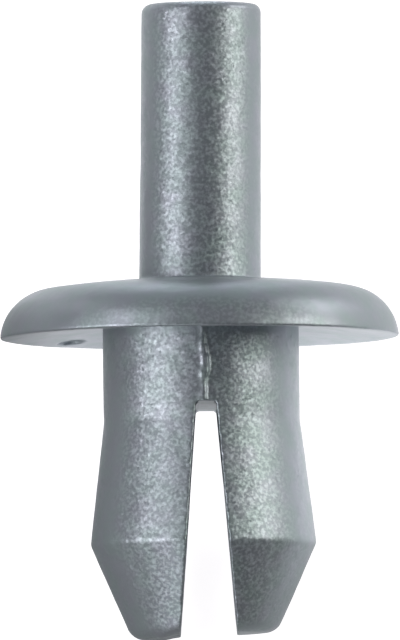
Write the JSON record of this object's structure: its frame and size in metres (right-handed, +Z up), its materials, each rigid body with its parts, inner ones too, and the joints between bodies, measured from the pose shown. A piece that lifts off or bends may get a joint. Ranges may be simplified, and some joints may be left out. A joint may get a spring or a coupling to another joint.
{
  "type": "trim clip",
  "caption": "One-piece moulded drive rivet for trim: drive pin on a round crowned head, over a shank split into two spreading legs.",
  "frame": {"origin": "centre of the lying clip's footprint, on the surface that it lies on", "axes": "+Y along the clip's length, from the leg ends to the drive pin, which points up by 22.8 degrees as it lies; +Z up; +X across the head. The slot between the legs faces up and down."},
  "size_m": [0.013, 0.0204, 0.0121],
  "materials": {
    "moulded_plastic": "silver grey moulded plastic with a fine metallic fleck and a slightly grainy, satin skin"
  },
  "bodies": {
    "root": {"trim_clip": "moulded_plastic"}
  },
  "joints": []
}
